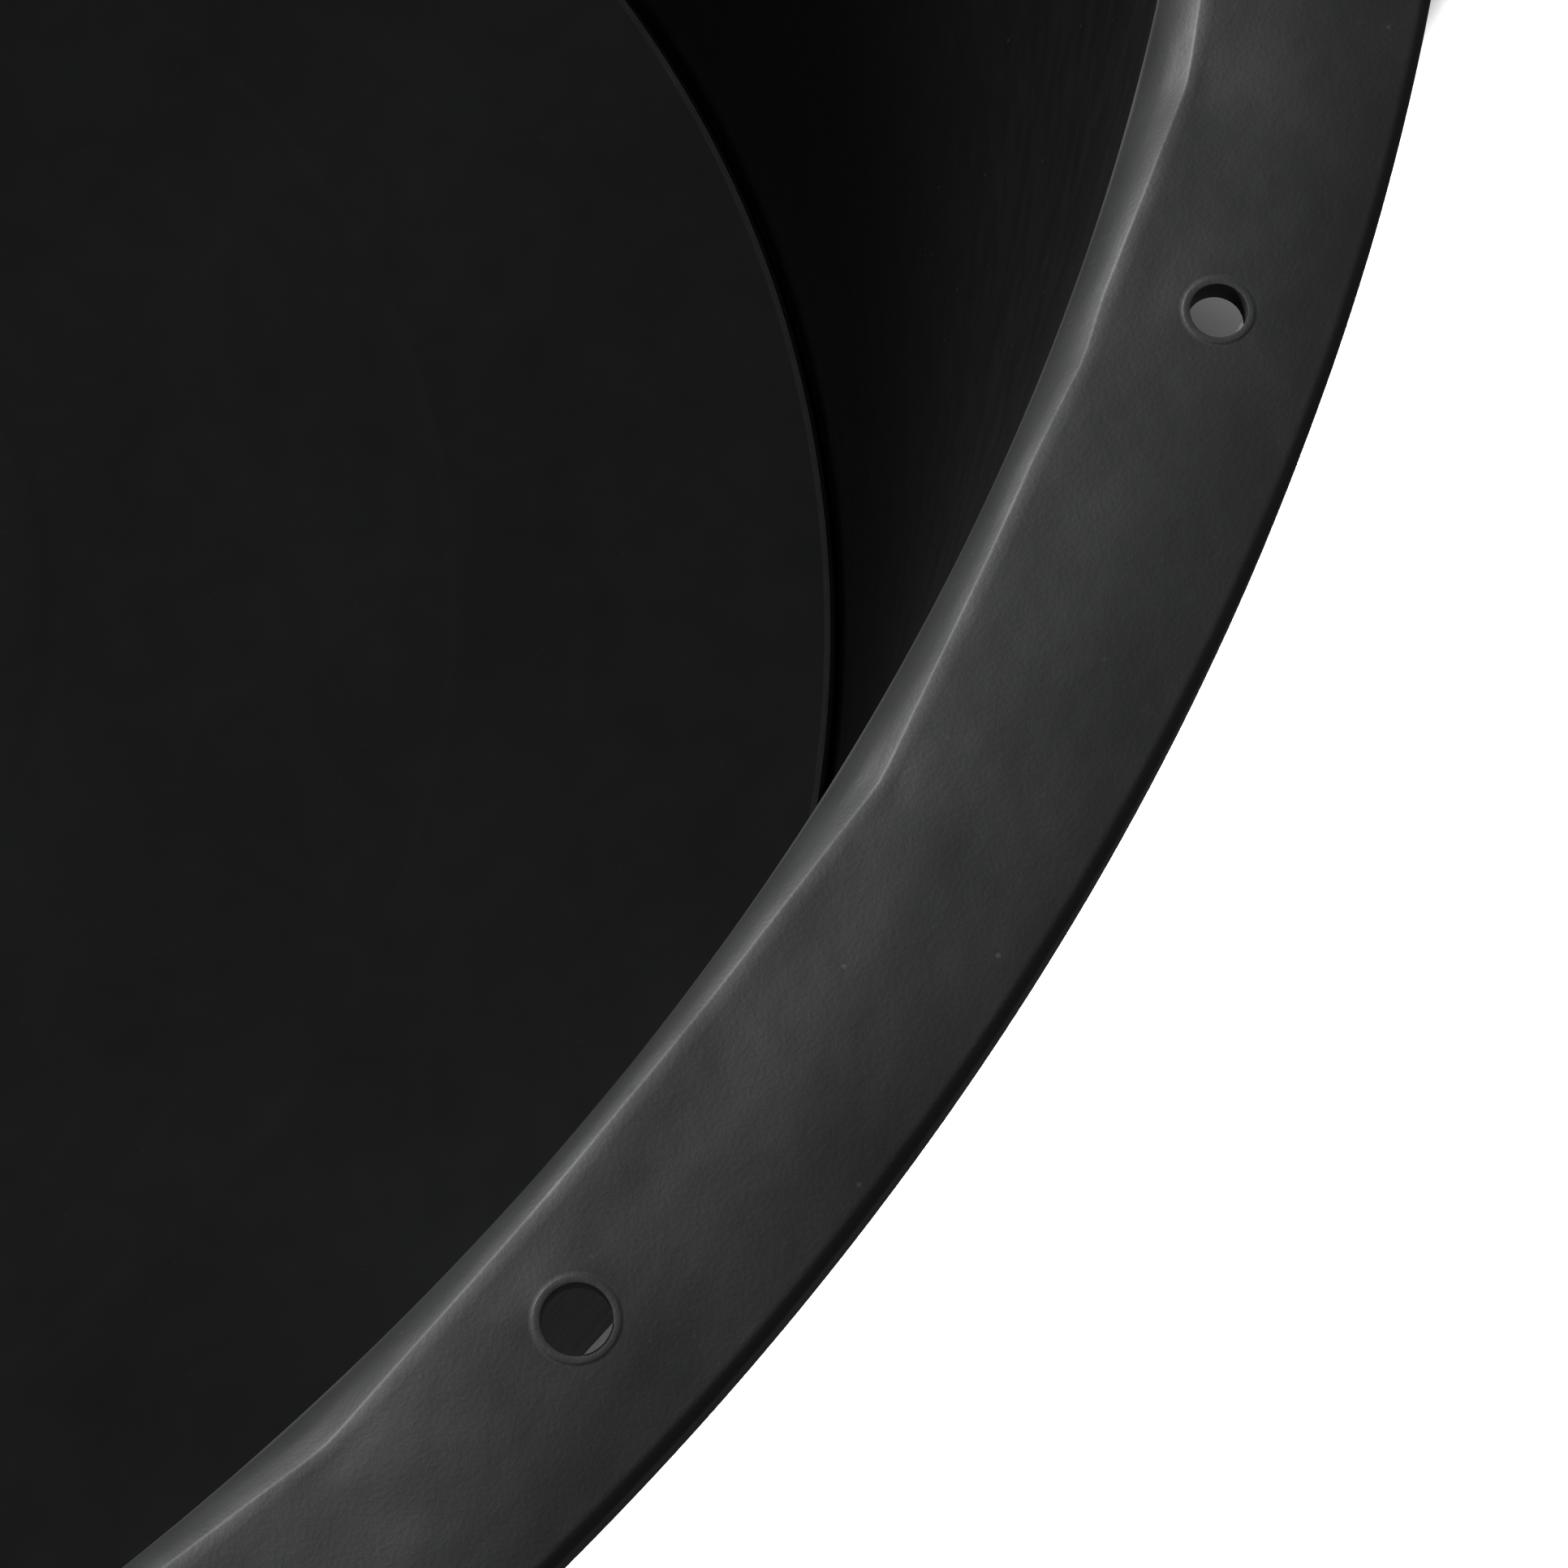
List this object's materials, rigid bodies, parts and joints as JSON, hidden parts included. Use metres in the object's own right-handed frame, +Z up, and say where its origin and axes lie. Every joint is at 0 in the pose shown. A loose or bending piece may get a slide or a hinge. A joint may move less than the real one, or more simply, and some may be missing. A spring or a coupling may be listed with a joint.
{
  "type": "mortar mixing tub",
  "caption": "Round tapered black polyethylene tub for mixing mortar, with a flat ribbed rim flange pierced for rope handles.",
  "frame": {"origin": "centre of the circle that the tub stands on, at the level of the ground", "axes": "+Z up along the tub's axis of revolution, +X towards the middle of one pair of rope handle holes, the other pair on -X"},
  "size_m": [0.65, 0.65, 0.4],
  "materials": {
    "moulded_polyethylene": "satin, moulded black polyethylene with fine scuffs"
  },
  "bodies": {
    "root": {"side_wall_front": "moulded_polyethylene", "side_wall_left": "moulded_polyethylene", "side_wall_back": "moulded_polyethylene", "side_wall_right": "moulded_polyethylene", "floor_disc": "moulded_polyethylene", "foot_ring": "moulded_polyethylene", "rim_edge": "moulded_polyethylene", "rim_flange_front": "moulded_polyethylene", "rim_flange_back": "moulded_polyethylene", "rim_flange_left": "moulded_polyethylene", "rim_flange_right": "moulded_polyethylene", "rope_eye_front_left": "moulded_polyethylene", "rope_eye_front_right": "moulded_polyethylene", "rope_eye_back_left": "moulded_polyethylene", "rope_eye_back_right": "moulded_polyethylene", "rim_rib_01": "moulded_polyethylene", "rim_rib_02": "moulded_polyethylene", "rim_rib_03": "moulded_polyethylene", "rim_rib_04": "moulded_polyethylene", "rim_rib_05": "moulded_polyethylene", "rim_rib_06": "moulded_polyethylene", "rim_rib_07": "moulded_polyethylene", "rim_rib_08": "moulded_polyethylene", "rim_rib_09": "moulded_polyethylene", "rim_rib_10": "moulded_polyethylene", "rim_rib_11": "moulded_polyethylene", "rim_rib_12": "moulded_polyethylene", "rim_rib_13": "moulded_polyethylene", "rim_rib_14": "moulded_polyethylene", "rim_rib_15": "moulded_polyethylene", "rim_rib_16": "moulded_polyethylene", "rim_rib_17": "moulded_polyethylene", "rim_rib_18": "moulded_polyethylene", "rim_rib_19": "moulded_polyethylene", "rim_rib_20": "moulded_polyethylene", "rim_rib_21": "moulded_polyethylene", "rim_rib_22": "moulded_polyethylene", "rim_rib_23": "moulded_polyethylene", "rim_rib_24": "moulded_polyethylene"}
  },
  "joints": []
}
